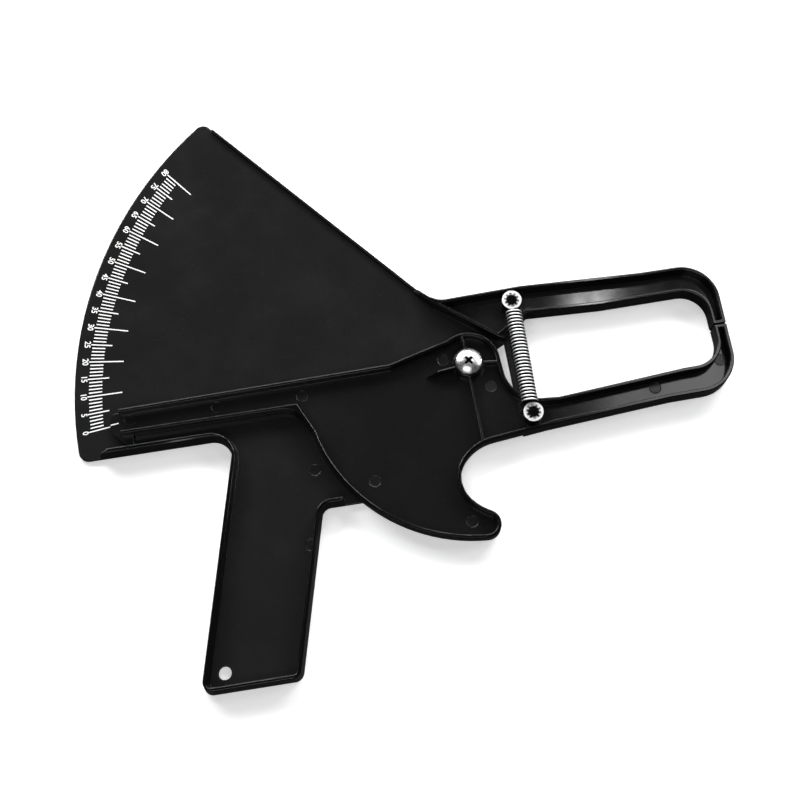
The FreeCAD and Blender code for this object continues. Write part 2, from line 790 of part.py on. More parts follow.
def star_ring(name, at):
    """A push-on ring: a flat annulus with teeth that grip the post."""
    body = new_body(name)
    sk = circle(body, name + "_outline", None, None, "ring_size")
    pad(body, name + "_disc", sk, "ring_thick")
    sk = circle(body, name + "_bore_outline", None, None, "ring_bore")
    pocket(body, name + "_bore", sk, "ring_thick", upward=True)
    grip = height["post_size"] * 0.5
    edge = height["ring_bore"] * 0.5 + TOOTH_SUNK
    half = height["tooth_width"] * 0.5
    sk = outline(body, name + "_tooth_outline", None, [
        (grip, half * -TOOTH_TIP), (edge, half * -1), (edge, half), (grip, half * TOOTH_TIP),
    ])
    tooth = pad(body, name + "_tooth", sk, "ring_thick")
    teeth = body.newObject("PartDesign::PolarPattern", name + "_teeth")
    teeth.Originals = [tooth]
    axis = [f for f in body.Origin.OriginFeatures if f.Role == "Z_Axis"][0]
    teeth.Axis = (axis, [""])
    teeth.Angle = 360
    teeth.setExpression("Occurrences", "Sizes.ring_teeth")
    body.Tip = teeth
    settle(teeth)
    body.setExpression("Placement.Base.x", at[0].text)
    body.setExpression("Placement.Base.y", at[1].text)
    body.setExpression("Placement.Base.z", "Sizes.ring_base")
    return body


star_ring("upper_retaining_ring", upper_post)
star_ring("lower_retaining_ring", lower_post)

# -------------------------------------------------------------------- spring
# Both parts of the spring are built in one frame: the upper post is its origin
# and the coil runs towards -Y. Their placement leans them, because the lower
# hook sits off centre. The wire of the hooks is eight-sided here.
post_gap = height["upper_post_y"] - height["lower_post_y"]
lean = math.atan2(height["coil_lean"].number, post_gap.number)
coil_start = (post_gap - height["coil_length"]) * 0.5
coil_end = coil_start + "coil_length"
wire = height["wire_size"]
loop_radius = (height["loop_size"] - wire) * 0.5
hook_drop = height["loop_height"] - height["coil_height"]


def spring_body(name):
    body = new_body(name)
    body.Placement = Placement(
        Vector(upper_post[0].number, upper_post[1].number, height["coil_height"].number),
        Rotation(Vector(0, 0, 1), -math.degrees(lean)),
    )
    return body


def hook(body, name, x, start, length):
    """A straight piece of wire along the spring."""
    sk = plane_sketch(body, name + "_outline", start, "XZ_Plane")
    draw(sk, regular(x, hook_drop, "wire_size", 8), {})
    pad(body, name, sk, length)


def wire_loop(body, name, x, y):
    """A ring of wire round a post."""
    sk = plane_sketch(body, name + "_section", None, "XZ_Plane")
    sk.setExpression("AttachmentOffset.Base.z", (y * -1).text)
    draw(sk, regular(x + loop_radius, hook_drop, "wire_size", 8), {})
    sk.addGeometry(Part.LineSegment(Vector(x.number, -2, 0), Vector(x.number, 2, 0)), True)
    feature = body.newObject("PartDesign::Revolution", name)
    feature.Profile = sk
    feature.ReferenceAxis = (sk, ["Axis0"])
    feature.Angle = 360
    settle(feature)


spring = spring_body("tension_spring")
sk = circle(spring, "coil_outline", coil_start, None, "coil_size", "XZ_Plane")
pad(spring, "coil", sk, "coil_length")
coil = spring.Tip
rounded = spring.newObject("PartDesign::Chamfer", "coil_ends")
rounded.Base = (coil, [
    "Edge%d" % (i + 1) for i, edge in enumerate(coil.Shape.Edges) if len(edge.Vertexes) == 1
])
rounded.setExpression("Size", "Sizes.wire_size / 2")
settle(rounded)
hook(spring, "upper_hook", size(0), loop_radius, coil_start + wire - loop_radius)
wire_loop(spring, "upper_loop", size(0), size(0))

lower_loop = spring_body("spring_lower_loop")
hook(
    lower_loop, "lower_hook", height["coil_lean"], coil_end,
    post_gap - loop_radius - coil_end,
)
wire_loop(lower_loop, "lower_loop", height["coil_lean"], post_gap * -1)

# ------------------------------------------------------- checks and output
doc.recompute()
faults = []
for item in doc.Objects:
    if "Invalid" in item.State or "Error" in item.State:
        faults.append(item.Name + " " + ", ".join(item.State))
for body in bodies:
    if body.Shape.isNull() or not body.Shape.isValid():
        faults.append(body.Label + " has no valid shape")
if faults:
    raise RuntimeError("; ".join(faults))

os.makedirs("parts", exist_ok=True)
for body in bodies:
    body.Shape.exportStep("parts/" + body.Label + ".step")
    box = body.Shape.BoundBox
    print(
        "%-22s %9.1f mm3  solids %d  x %.1f..%.1f  y %.1f..%.1f  z %.2f..%.2f"
        % (
            body.Label, body.Shape.Volume, len(body.Shape.Solids),
            box.XMin, box.XMax, box.YMin, box.YMax, box.ZMin, box.ZMax,
        )
    )
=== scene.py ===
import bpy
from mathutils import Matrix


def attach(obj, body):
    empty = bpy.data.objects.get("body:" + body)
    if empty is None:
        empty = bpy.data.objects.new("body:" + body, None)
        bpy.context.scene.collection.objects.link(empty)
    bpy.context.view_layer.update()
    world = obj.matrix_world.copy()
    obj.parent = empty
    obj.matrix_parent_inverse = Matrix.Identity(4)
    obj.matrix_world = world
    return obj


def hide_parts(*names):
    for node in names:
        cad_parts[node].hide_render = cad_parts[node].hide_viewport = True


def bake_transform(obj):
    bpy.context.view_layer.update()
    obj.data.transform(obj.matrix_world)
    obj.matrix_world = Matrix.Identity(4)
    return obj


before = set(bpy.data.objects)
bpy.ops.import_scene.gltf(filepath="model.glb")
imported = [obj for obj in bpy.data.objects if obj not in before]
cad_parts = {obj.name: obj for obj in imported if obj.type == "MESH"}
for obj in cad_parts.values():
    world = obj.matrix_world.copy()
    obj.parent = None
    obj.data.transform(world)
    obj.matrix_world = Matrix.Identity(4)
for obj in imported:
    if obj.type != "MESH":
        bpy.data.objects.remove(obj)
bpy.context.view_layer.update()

import math

import bpy
from bpy.props import FloatProperty, FloatVectorProperty, IntProperty, PointerProperty
from mathutils import Matrix, Vector

bl_info = {
    "name": "Skinfold Caliper",
    "version": (1, 0, 0),
    "blender": (4, 5, 0),
    "location": "View3D > Sidebar > Caliper",
    "description": "Finishes, spring, printed scale and studio for a plastic skinfold caliper",
    "category": "Object",
}

MM = 0.001
UPPER_POST = Vector((22.2, 23.0, 11.6)) * MM
POST_GAP = 49.9 * MM
COIL_LEAN = 0.6 * MM
HOOK_DROP = -0.4 * MM
PLATE_TOP = 2.0 * MM
TRAY_FLOOR = 3.8 * MM
POST_TOP = 10.0 * MM
EDGE_ROUND = 0.4 * MM
# Direction towards the lamps, for the painted highlight on the rim edges.
LIT_EDGE_SIDE = (-0.4, 0.9, 0.0)
HEAD_RADIUS = 5.6 * MM
HEAD_BASE = 8.1 * MM
HEAD_EDGE = 0.7 * MM
DOME_RADIUS = 8.6 * MM
DOME_CENTRE = 2.26 * MM
SHANK_RADIUS = 2.5 * MM
SHANK_END = 0.1 * MM
SHANK_TIP = 0.9
ROLLED_EDGE = 0.25 * MM
CROSS_DEPTH = 1.7 * MM
CROSS_TURN = math.radians(36)
LEVER_MARKS = (
    (-10.1, 4.0), (7.8, -10.6), (-46.2, -43.5), (-9.7, -66.4), (-143.5, -1.3),
    (-106.9, -1.4), (-71.0, -2.3),
)
ARM_MARKS = ((75.6, -21.8), (105.2, -14.0))
FRAME_MARKS = ((-70.0, -34.4), (-75.8, -65.3))
MARK_EDGE = 0.25 * MM
INK = 0.03 * MM
TICKS_MEET = Vector((-36.2, 10.6)) * MM
SHORT_TICK_INSET = 0.7 * MM
INDEX_START = 9.6 * MM
INDEX_END = 13.0 * MM
CAPITAL_HEIGHT = 0.70
NUMBER_NARROWING = 0.86
NUMBER_BOLDNESS = 0.06 * MM
NUMBER_GAP = 0.25 * MM

# Near black painted on the walls and rim tops as painted shade.
WALL_SHADE_BLACK = (0.0015, 0.0015, 0.0015)
# Light grey painted along the rim edges as a painted highlight.
EDGE_HIGHLIGHT_GREY = (0.200, 0.200, 0.202)
DUST_GREY = (0.09, 0.09, 0.088)
# Dark painted shade for the spring's grooves and the screw's cross recess.
RECESS_SHADE = (0.006, 0.006, 0.006)
FLOOR_SIDE = 6.0
FLOOR_DROP = -0.1 * MM
FLOOR_REFLECTED = (0.07, 0.07, 0.07)
FLOOR_GLOW = 0.35
ROOM_COLOUR = (0.9, 0.92, 0.95, 1.0)
ROOM_STRENGTH = 0.06
# Each lamp's name, place, length and height in metres, and power in watts.
LAMPS = (
    ("Back soft box", (0.00, 1.25, 0.68), (1.00, 0.50), 20.0),
    ("Back left soft box", (-0.75, 1.03, 0.70), (0.62, 0.50), 15.0),
    ("Back right soft box", (0.85, 0.85, 0.70), (0.60, 0.45), 13.0),
    ("Right soft box", (1.20, 0.20, 0.70), (0.50, 0.45), 4.0),
    ("Front soft box", (-0.35, -0.75, 1.20), (0.90, 0.50), 6.0),
    ("Upper arm lamp", (0.174, 0.25, 0.60), (0.03, 0.03), 0.08),
    ("Lower arm lamp", (0.250, 0.130, 0.60), (0.14, 0.14), 0.26),
)
CAMERA_PLACE = (-0.045081, -0.177401, 0.520805)
CAMERA_TURN_DEGREES = (17.9044, 1.2580, -8.7950)
CAMERA_LENS = 58.5


# ------------------------------------------------------------------ properties
class CaliperSizes(bpy.types.PropertyGroup):
    wire: FloatProperty(
        name="Spring wire", description="Diameter of the spring's wire",
        default=1.1 * MM, unit="LENGTH", precision=5,
    )
    coil: FloatProperty(
        name="Coil", description="Outside diameter of the spring's coil",
        default=6.7 * MM, unit="LENGTH", precision=5,
    )
    coil_length: FloatProperty(
        name="Coil length", description="Length of the coil with the jaws closed",
        default=41.9 * MM, unit="LENGTH", precision=5,
    )
    turns: IntProperty(
        name="Turns", description="Number of turns in the coil", default=28, min=4,
    )
    loop: FloatProperty(
        name="End loop", description="Outside diameter of the loops at the spring's ends",
        default=6.9 * MM, unit="LENGTH", precision=5,
    )
    cross: FloatProperty(
        name="Cross recess", description="Span of the cross recess in the pivot screw's head",
        default=5.0 * MM, unit="LENGTH", precision=5,
    )
    mark: FloatProperty(
        name="Ejector mark", description="Diameter of the round marks of the mould's ejectors",
        default=5.2 * MM, unit="LENGTH", precision=5,
    )
    tick_width: FloatProperty(
        name="Tick width", description="Width of a printed line of the scale",
        default=0.5 * MM, unit="LENGTH", precision=5,
    )
    tick_short: FloatProperty(
        name="Short tick", description="Length of a one millimetre tick",
        default=5.6 * MM, unit="LENGTH", precision=5,
    )
    tick_middle: FloatProperty(
        name="Middle tick", description="Length of a five millimetre tick",
        default=9.1 * MM, unit="LENGTH", precision=5,
    )
    tick_long: FloatProperty(
        name="Long tick", description="Length of a ten millimetre tick",
        default=14.8 * MM, unit="LENGTH", precision=5,
    )
    number_height: FloatProperty(
        name="Number height", description="Height of the scale's numbers",
        default=2.5 * MM, unit="LENGTH", precision=5,
    )
    scale_radius: FloatProperty(
        name="Scale radius", description="Distance from the pivot to the long ticks' outer ends",
        default=161.3 * MM, unit="LENGTH", precision=5,
    )
    scale_start: FloatProperty(
        name="Scale start", description="Direction of the zero tick from the pivot",
        default=math.radians(181.17), subtype="ANGLE",
    )
    scale_step: FloatProperty(
        name="Scale step", description="Turn of the pointer for one millimetre between the jaws",
        default=math.radians(0.5581), subtype="ANGLE",
    )


class CaliperColours(bpy.types.PropertyGroup):
    plastic: FloatVectorProperty(
        name="Plastic", description="Colour of the black mouldings",
        default=(0.0095, 0.0095, 0.0098), subtype="COLOR", min=0, max=1,
    )
    plastic_rubbed: FloatVectorProperty(
        name="Rubbed plastic", description="Colour of the plastic where hands have dulled it",
        default=(0.0120, 0.0120, 0.0123), subtype="COLOR", min=0, max=1,
    )
    zinc: FloatVectorProperty(
        name="Zinc plate", description="Colour of the screw, nut and bush",
        default=(0.78, 0.78, 0.77), subtype="COLOR", min=0, max=1,
    )
    wire: FloatVectorProperty(
        name="Drawn wire", description="Colour of the spring",
        default=(0.84, 0.84, 0.83), subtype="COLOR", min=0, max=1,
    )
    ink: FloatVectorProperty(
        name="Ink", description="Colour of the printed scale",
        default=(0.86, 0.86, 0.85), subtype="COLOR", min=0, max=1,
    )
    floor: FloatVectorProperty(
        name="Floor", description="Colour of the studio floor",
        default=(0.9, 0.9, 0.9), subtype="COLOR", min=0, max=1,
    )


# --------------------------------------------------------------------- helpers
def start_fresh():
    """Object mode with nothing selected."""
    active = bpy.context.view_layer.objects.active
    if active is not None and active.mode != "OBJECT":
        bpy.ops.object.mode_set(mode="OBJECT")
    bpy.ops.object.select_all(action="DESELECT")


def only(piece):
    """Select one object and make it active."""
    start_fresh()
    piece.select_set(True)
    bpy.context.view_layer.objects.active = piece
    return piece


def join(pieces, name):
    """Join objects into one mesh."""
    start_fresh()
    for piece in pieces:
        piece.select_set(True)
    bpy.context.view_layer.objects.active = pieces[0]
    if len(pieces) > 1:
        bpy.ops.object.join()
    whole = bpy.context.view_layer.objects.active
    whole.name = name
    return whole


def settle_in_mesh(piece):
    """Put the piece's place into its mesh, so the object sits unturned at the origin."""
    only(piece)
    bpy.ops.object.transform_apply(location=True, rotation=True, scale=True)


def close_and_face_out(piece):
    """Merge doubles, close open ends and turn the faces outwards."""
    only(piece)
    bpy.ops.object.mode_set(mode="EDIT")
    bpy.ops.mesh.select_all(action="SELECT")
    bpy.ops.mesh.remove_doubles(threshold=1e-7)
    bpy.ops.mesh.select_all(action="SELECT")
    bpy.ops.mesh.fill_holes(sides=0)
    bpy.ops.mesh.select_all(action="SELECT")
    bpy.ops.mesh.normals_make_consistent(inside=False)
    bpy.ops.object.mode_set(mode="OBJECT")


def finish_piece(piece, material):
    """Give a piece its material, in a single slot."""
    piece.data.materials.clear()
    piece.data.materials.append(material)
    return piece


# ------------------------------------------------------------------- materials
def new_group(name, inputs, outputs):
    """A shader node group with named sockets, and its two end nodes."""
    group = bpy.data.node_groups.new(name, "ShaderNodeTree")
    for socket, kind, value in inputs:
        made = group.interface.new_socket(name=socket, in_out="INPUT", socket_type=kind)
        if value is not None:
            made.default_value = value
    for socket, kind in outputs:
        group.interface.new_socket(name=socket, in_out="OUTPUT", socket_type=kind)
    return group, group.nodes.new("NodeGroupInput"), group.nodes.new("NodeGroupOutput")


def noise(tree, vector, scale, detail=3.0, rough=0.5):
    """A cloudy pattern from 0 to 1."""
    node = tree.nodes.new("ShaderNodeTexNoise")
    node.inputs["Scale"].default_value = scale
    node.inputs["Detail"].default_value = detail
    node.inputs["Roughness"].default_value = rough
    tree.links.new(vector, node.inputs["Vector"])
    return node.outputs["Fac"]


def ramp(tree, value, low, high, start=0.0, end=1.0):
    """Maps a value from low..high to start..end."""
    node = tree.nodes.new("ShaderNodeMapRange")
    node.inputs["From Min"].default_value = low
    node.inputs["From Max"].default_value = high
    node.inputs["To Min"].default_value = start
    node.inputs["To Max"].default_value = end
    tree.links.new(value, node.inputs["Value"])
    return node.outputs["Result"]


def maths(tree, kind, a, b):
    """The result of a sum on two sockets or plain numbers."""
    node = tree.nodes.new("ShaderNodeMath")
    node.operation = kind
    for place, value in enumerate((a, b)):
        if isinstance(value, (int, float)):
            node.inputs[place].default_value = value
        else:
            tree.links.new(value, node.inputs[place])
    return node.outputs[0]


def stretched(tree, vector, scale, turn=0.0):
    """Coordinates scaled by a different factor each way, and turned about Z."""
    node = tree.nodes.new("ShaderNodeMapping")
    node.inputs["Scale"].default_value = scale
    node.inputs["Rotation"].default_value = (0, 0, turn)
    tree.links.new(vector, node.inputs["Vector"])
    return node.outputs["Vector"]


def handling_group():
    """Smudges, hairline scratches and settled dust, as three masks."""
    group, inside, outside = new_group(
        "Handling marks",
        [("Vector", "NodeSocketVector", None), ("Smudge size", "NodeSocketFloat", 45.0)],
        [(mask, "NodeSocketFloat") for mask in ("Smudge", "Scratch", "Dust")],
    )
    vector = inside.outputs["Vector"]
    cloud = group.nodes.new("ShaderNodeTexNoise")
    cloud.inputs["Detail"].default_value = 4.0
    cloud.inputs["Roughness"].default_value = 0.62
    group.links.new(vector, cloud.inputs["Vector"])
    group.links.new(inside.outputs["Smudge size"], cloud.inputs["Scale"])
    group.links.new(ramp(group, cloud.outputs["Fac"], 0.42, 0.68), outside.inputs["Smudge"])
    lines = []
    for turn, across in ((0.5, 700.0), (-0.9, 900.0)):
        thin = stretched(group, vector, (12.0, across, 12.0), turn)
        lines.append(ramp(group, noise(group, thin, 1.0, 2.0), 0.70, 0.76))
    hair = maths(group, "MAXIMUM", lines[0], lines[1])
    patch = ramp(group, noise(group, vector, 28.0, 2.0), 0.50, 0.62)
    group.links.new(maths(group, "MULTIPLY", hair, patch), outside.inputs["Scratch"])
    speck = ramp(group, noise(group, vector, 2600.0, 1.0), 0.74, 0.80)
    group.links.new(speck, outside.inputs["Dust"])
    return group


def grain_group():
    """The fine orange-peel skin that a mould leaves, as a height."""
    group, inside, outside = new_group(
        "Mould skin",
        [("Vector", "NodeSocketVector", None), ("Size", "NodeSocketFloat", 1500.0)],
        [("Height", "NodeSocketFloat")],
    )
    fine = group.nodes.new("ShaderNodeTexNoise")
    fine.inputs["Detail"].default_value = 2.0
    group.links.new(inside.outputs["Vector"], fine.inputs["Vector"])
    group.links.new(inside.outputs["Size"], fine.inputs["Scale"])
    flow = noise(group, inside.outputs["Vector"], 60.0, 2.0)
    height = maths(group, "MULTIPLY", fine.outputs["Fac"], 0.35)
    both = maths(group, "ADD", height, flow)
    group.links.new(both, outside.inputs["Height"])
    return group


def use_group(tree, group, vector, **values):
    """Place a shared node group in a material, with its own values."""
    node = tree.nodes.new("ShaderNodeGroup")
    node.node_tree = group
    tree.links.new(vector, node.inputs["Vector"])
    for socket, value in values.items():
        node.inputs[socket.replace("_", " ")].default_value = value
    return node


def new_material(name):
    """A material with its shader and Object coordinates."""
    material = bpy.data.materials.new(name)
    material.use_nodes = True
    tree = material.node_tree
    shader = tree.nodes["Principled BSDF"]
    place = tree.nodes.new("ShaderNodeTexCoord").outputs["Object"]
    return material, tree, shader, place


def mixed(tree, mask, first, second):
    """The first colour where the mask is zero and the second where it is one."""
    node = tree.nodes.new("ShaderNodeMix")
    node.data_type = "RGBA"
    for name, colour in (("A", first), ("B", second)):
        if isinstance(colour, bpy.types.NodeSocket):
            tree.links.new(colour, node.inputs[name])
        else:
            node.inputs[name].default_value = (*colour, 1.0)
    tree.links.new(mask, node.inputs["Factor"])
    return node.outputs["Result"]


def bumped(tree, shader, height, strength, distance, normal=None):
    """Relief from a height, over the surface's own normal or the one given."""
    node = tree.nodes.new("ShaderNodeBump")
    if normal is not None:
        tree.links.new(normal, node.inputs["Normal"])
    node.inputs["Strength"].default_value = strength
    node.inputs["Distance"].default_value = distance
    tree.links.new(height, node.inputs["Height"])
    tree.links.new(node.outputs["Normal"], shader.inputs["Normal"])


def upward_part(tree, vector):
    """The Z of a vector."""
    parts = tree.nodes.new("ShaderNodeSeparateXYZ")
    tree.links.new(vector, parts.inputs["Vector"])
    return parts.outputs["Z"]


def wall_mask(tree):
    """One on the upright walls of a moulding and zero on its flat faces."""
    normal = tree.nodes.new("ShaderNodeNewGeometry").outputs["True Normal"]
    upright = maths(tree, "ABSOLUTE", upward_part(tree, normal), 0.0)
    return ramp(tree, upright, 0.2, 0.5, 1.0, 0.0)


def rim_mask(tree, place):
    """One on the tops of the rims and ribs, which stand above the trays."""
    return ramp(tree, upward_part(tree, place), TRAY_FLOOR + 0.6 * MM, TRAY_FLOOR + 1.0 * MM)


def dot_product(tree, vector, other):
    """How far two vectors agree; the other may be a socket or plain numbers."""
    node = tree.nodes.new("ShaderNodeVectorMath")
    node.operation = "DOT_PRODUCT"
    tree.links.new(vector, node.inputs[0])
    if isinstance(other, tuple):
        node.inputs[1].default_value = other
    else:
        tree.links.new(other, node.inputs[1])
    return node.outputs["Value"]


def edge_wear(tree, rounded, rim):
    """A painted highlight: one along the rims' edges that lean towards the lit side, and zero on
    the sloping ramps beside them.
    """
    flat = tree.nodes.new("ShaderNodeNewGeometry").outputs["Normal"]
    turned = ramp(tree, dot_product(tree, rounded, flat), 0.80, 0.92, 1.0, 0.0)
    side = ramp(tree, dot_product(tree, rounded, LIT_EDGE_SIDE), 0.0, 0.2)
    facing = upward_part(tree, flat)
    steep = ramp(tree, facing, 0.76, 0.80, 1.0, 0.0)
    level = ramp(tree, facing, 0.93, 0.97)
    not_ramp = maths(tree, "MAXIMUM", steep, level)
    # Painted highlight on the rim edges that face the lit side.
    worn = maths(tree, "MULTIPLY", maths(tree, "MULTIPLY", turned, side), rim)
    return maths(tree, "MULTIPLY", worn, not_ramp)


def plastic_material(name, colours, handling, skin, gloss, tone_and_shade):
    """Black moulded plastic; gloss is its clean roughness, and the last factor scales its tone,
    which on the lever darkens it as painted shade.
    """
    material, tree, shader, place = new_material(name)
    marks = use_group(tree, handling, place, Smudge_size=38.0)
    peel = use_group(tree, skin, place, Size=1500.0)
    clean = tuple(value * tone_and_shade for value in colours.plastic)
    rubbed = tuple(value * tone_and_shade for value in colours.plastic_rubbed)
    worn = maths(tree, "MULTIPLY", marks.outputs["Smudge"], 0.8)
    dulled = maths(tree, "MAXIMUM", worn, maths(tree, "MULTIPLY", marks.outputs["Scratch"], 0.9))
    colour = mixed(tree, dulled, clean, rubbed)
    colour = mixed(tree, maths(tree, "MULTIPLY", marks.outputs["Dust"], 0.5), colour, DUST_GREY)
    wall = wall_mask(tree)
    rim = rim_mask(tree, place)
    below_post = ramp(tree, upward_part(tree, place), POST_TOP - 0.5 * MM, POST_TOP, 1.0, 0.2)
    edge = tree.nodes.new("ShaderNodeBevel")
    edge.samples = 6
    rounding = maths(tree, "MULTIPLY", below_post, EDGE_ROUND)
    tree.links.new(rounding, edge.inputs["Radius"])
    # Painted shade: the upright walls and the rim tops are darkened to near black.
    shaded_faces = maths(tree, "MAXIMUM", wall, rim)
    colour = mixed(tree, shaded_faces, colour, WALL_SHADE_BLACK)
    # Painted highlight: light grey on the rim edges that face the back lamps.
    colour = mixed(tree, edge_wear(tree, edge.outputs["Normal"], rim), colour, EDGE_HIGHLIGHT_GREY)
    tree.links.new(colour, shader.inputs["Base Color"])
    rough = maths(tree, "ADD", maths(tree, "MULTIPLY", dulled, 0.10), gloss)
    rough = maths(tree, "MAXIMUM", rough, maths(tree, "MULTIPLY", wall, 0.30))
    rough = maths(tree, "MULTIPLY", rough, below_post)
    tree.links.new(rough, shader.inputs["Roughness"])
    shader.inputs["Specular IOR Level"].default_value = 0.4
    height = maths(
        tree, "SUBTRACT", peel.outputs["Height"],
        maths(tree, "MULTIPLY", marks.outputs["Scratch"], 0.5),
    )
    bumped(tree, shader, height, 0.25, 0.00004, edge.outputs["Normal"])
    return material


def steel_material(name, colour, handling, base_rough, line_scale):
    """Bright steel with drawn or rolled lines and faint tarnish."""
    material, tree, shader, place = new_material(name)
    marks = use_group(tree, handling, place, Smudge_size=220.0)
    lines = noise(tree, stretched(tree, place, line_scale), 1.0, 3.0, 0.6)
    tint = tuple(value * 0.62 for value in colour)
    tree.links.new(
        mixed(tree, maths(tree, "MULTIPLY", marks.outputs["Smudge"], 0.45), colour, tint),
        shader.inputs["Base Color"],
    )
    rough = maths(tree, "ADD", ramp(tree, lines, 0.3, 0.7, 0.0, 0.14), base_rough)
    rough = maths(tree, "ADD", rough, maths(tree, "MULTIPLY", marks.outputs["Smudge"], 0.10))
    tree.links.new(rough, shader.inputs["Roughness"])
    shader.inputs["Metallic"].default_value = 1.0
    bumped(tree, shader, lines, 0.15, 0.00002)
    return material


def coil_place(sizes):
    """The spring's lean from the Y axis, and the coil's first end along it."""
    return math.atan2(COIL_LEAN, POST_GAP), -(POST_GAP - sizes.coil_length) / 2


def distance_from_axis(tree, one, other):
    """The distance from an axis, from the two coordinates across it."""
    squares = [maths(tree, "MULTIPLY", part, part) for part in (one, other)]
    return maths(tree, "POWER", maths(tree, "ADD", *squares), 0.5)


def groove_group(axis_start, lean, radius, first, last):
    """A mask that is one in the grooves between the spring's turns, near its axis."""
    group, inside, outside = new_group(
        "Painted groove shade", [("Vector", "NodeSocketVector", None)], [("Groove", "NodeSocketFloat")],
    )
    moved = group.nodes.new("ShaderNodeVectorMath")
    moved.operation = "SUBTRACT"
    group.links.new(inside.outputs["Vector"], moved.inputs[0])
    moved.inputs[1].default_value = axis_start
    upright = group.nodes.new("ShaderNodeVectorRotate")
    upright.rotation_type = "Z_AXIS"
    upright.inputs["Angle"].default_value = lean
    group.links.new(moved.outputs["Vector"], upright.inputs["Vector"])
    parts = group.nodes.new("ShaderNodeSeparateXYZ")
    group.links.new(upright.outputs["Vector"], parts.inputs["Vector"])
    out = distance_from_axis(group, parts.outputs["X"], parts.outputs["Z"])
    deep = ramp(group, out, radius - 0.18 * MM, radius - 0.06 * MM, 1.0, 0.0)
    start = maths(group, "LESS_THAN", parts.outputs["Y"], first)
    end = maths(group, "GREATER_THAN", parts.outputs["Y"], last)
    coil_only = maths(group, "MULTIPLY", start, end)
    group.links.new(maths(group, "MULTIPLY", deep, coil_only), outside.inputs["Groove"])
    return group


def add_grime(tree, mask):
    """Painted shade over a finished steel material: dark where the mask is one."""
    shader = tree.nodes["Principled BSDF"]
    clean = shader.inputs["Base Color"].links[0].from_socket
    tree.links.new(mixed(tree, mask, clean, RECESS_SHADE), shader.inputs["Base Color"])
    smooth = shader.inputs["Roughness"].links[0].from_socket
    rough = maths(tree, "MAXIMUM", smooth, maths(tree, "MULTIPLY", mask, 0.6))
    tree.links.new(rough, shader.inputs["Roughness"])


def wire_material(name, colour, handling, groove):
    """Drawn spring wire, with painted shade in the grooves between the turns."""
    material = steel_material(name, colour, handling, 0.42, (700.0, 700.0, 700.0))
    tree = material.node_tree
    place = tree.nodes["Texture Coordinate"].outputs["Object"]
    add_grime(tree, use_group(tree, groove, place).outputs["Groove"])
    return material


def screw_material(name, colour, handling, span):
    """Zinc-plated steel, with painted shade in the cross recess."""
    material = steel_material(name, colour, handling, 0.18, (900.0, 900.0, 900.0))
    tree = material.node_tree
    place = tree.nodes["Texture Coordinate"].outputs["Object"]
    parts = tree.nodes.new("ShaderNodeSeparateXYZ")
    tree.links.new(place, parts.inputs["Vector"])
    out = distance_from_axis(tree, parts.outputs["X"], parts.outputs["Y"])
    inside = maths(tree, "LESS_THAN", out, span / 2)
    dome_edge = DOME_CENTRE + math.sqrt(DOME_RADIUS ** 2 - (span / 2) ** 2)
    below = ramp(tree, parts.outputs["Z"], dome_edge - 0.16 * MM, dome_edge - 0.04 * MM, 1.0, 0.0)
    above = maths(tree, "GREATER_THAN", parts.outputs["Z"], HEAD_BASE)
    deep = maths(tree, "MULTIPLY", below, above)
    # Painted shade inside the cross recess.
    add_grime(tree, maths(tree, "MULTIPLY", deep, inside))
    return material


def ink_material(name, colour, handling):
    """White screen-printed ink, thin in places."""
    material, tree, shader, place = new_material(name)
    marks = use_group(tree, handling, place, Smudge_size=300.0)
    thin = noise(tree, place, 2400.0, 2.0)
    worn = maths(tree, "MULTIPLY", marks.outputs["Smudge"], ramp(tree, thin, 0.4, 0.7, 0.1, 0.6))
    faded = tuple(value * 0.55 for value in colour)
    tree.links.new(mixed(tree, worn, colour, faded), shader.inputs["Base Color"])
    tree.links.new(ramp(tree, thin, 0.3, 0.7, 0.45, 0.62), shader.inputs["Roughness"])
    bumped(tree, shader, thin, 0.2, 0.00001)
    return material


# ------------------------------------------------------------------- operators
finishes = {}


class CALIPER_OT_finishes(bpy.types.Operator):
    """Make the plastic, steel and ink, and put them on the mouldings and the hardware"""

    bl_idname = "caliper.finishes"
    bl_label = "Finishes"

    def execute(self, context):
        colours = context.scene.caliper_colours
        handling = handling_group()
        skin = grain_group()
        mouldings = (
            ("frame", "Black plastic, frame", 0.10, 1.02),
            # The lever's lower factor darkens its base colour as painted shade.
            ("lever", "Black plastic, lever", 0.10, 0.68),
            ("marks", "Black plastic, ejector marks", 0.24, 0.6),
        )
        for key, name, gloss, tone_and_shade in mouldings:
            finishes[key] = plastic_material(name, colours, handling, skin, gloss, tone_and_shade)
        sizes = context.scene.caliper_sizes
        finishes["screw"] = screw_material("Zinc-plated steel", colours.zinc, handling, sizes.cross)
        finishes["ring"] = steel_material(
            "Rolled ring steel", colours.zinc, handling, 0.42, (200.0, 1800.0, 200.0),
        )
        lean, first = coil_place(sizes)
        groove = groove_group(
            UPPER_POST, lean, sizes.coil / 2, first, first - sizes.coil_length,
        )
        finishes["wire"] = wire_material("Drawn spring wire", colours.wire, handling, groove)
        finishes["ink"] = ink_material("White print", colours.ink, handling)
        wearers = {
            "frame": "frame", "lever": "lever", "pivot_bush": "screw", "pivot_nut": "screw",
            "upper_retaining_ring": "ring", "lower_retaining_ring": "ring",
        }
        for node, finish in wearers.items():
            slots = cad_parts[node].material_slots
            if not slots:
                raise RuntimeError(node + " has no material slot")
            for slot in slots:
                slot.material = finishes[finish]
        return {"FINISHED"}


def wire_section(radius, place, turn):
    """A circle that is the cross-section of the wire."""
    start_fresh()
    bpy.ops.mesh.primitive_circle_add(
        vertices=14, radius=radius, fill_type="NOTHING", location=place, rotation=turn,
    )
    piece = bpy.context.object
    settle_in_mesh(piece)
    return piece


